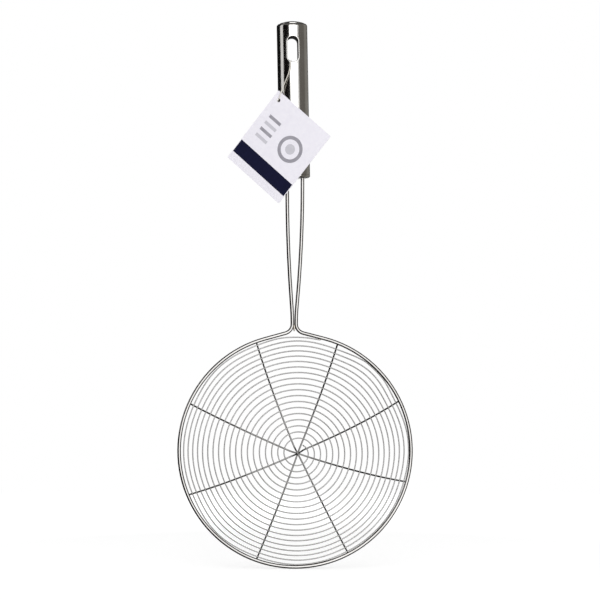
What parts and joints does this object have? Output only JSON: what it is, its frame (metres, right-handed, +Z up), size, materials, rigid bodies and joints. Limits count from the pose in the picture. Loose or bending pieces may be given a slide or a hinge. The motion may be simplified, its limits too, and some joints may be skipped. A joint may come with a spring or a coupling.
{
  "type": "spider skimmer",
  "caption": "Long-handled spider skimmer that lifts and drains fried or boiled food in a shallow spiral wire basket, and hangs from a hook through the slot in its hollow handle.",
  "frame": {"origin": "centre of the hang slot, on the handle's axis", "axes": "+Z up along the handle towards its capped end, the bowl opens towards -Y, +X to the right seen from the open side"},
  "size_m": [0.1994, 0.0622, 0.4634],
  "materials": {
    "handle_steel": "polished stainless steel",
    "frame_steel": "polished drawn wire",
    "basket_steel": "drawn wire, electropolished",
    "tag_card": "coated card",
    "tag_string": "twisted thread"
  },
  "bodies": {
    "skimmer": {"handle_tube": "handle_steel", "handle_end_cap": "handle_steel", "handle_ferrule": "handle_steel", "hang_slot_sleeve": "handle_steel", "frame_wire": "frame_steel", "spiral_wire": "basket_steel", "tag_string": "tag_string", "spoke_wire_1": "basket_steel", "spoke_wire_2": "basket_steel", "spoke_wire_3": "basket_steel", "spoke_wire_4": "basket_steel"},
    "tag": {"hang_tag": "tag_card"}
  },
  "joints": [
    {"name": "tag_swing", "type": "hinge", "parent": "skimmer", "child": "tag", "pos_m": [-0.0116, -0.00955, -0.0423], "axis": [-0.3746, -0.9272, 0], "range_deg": [-45, 45]}
  ]
}
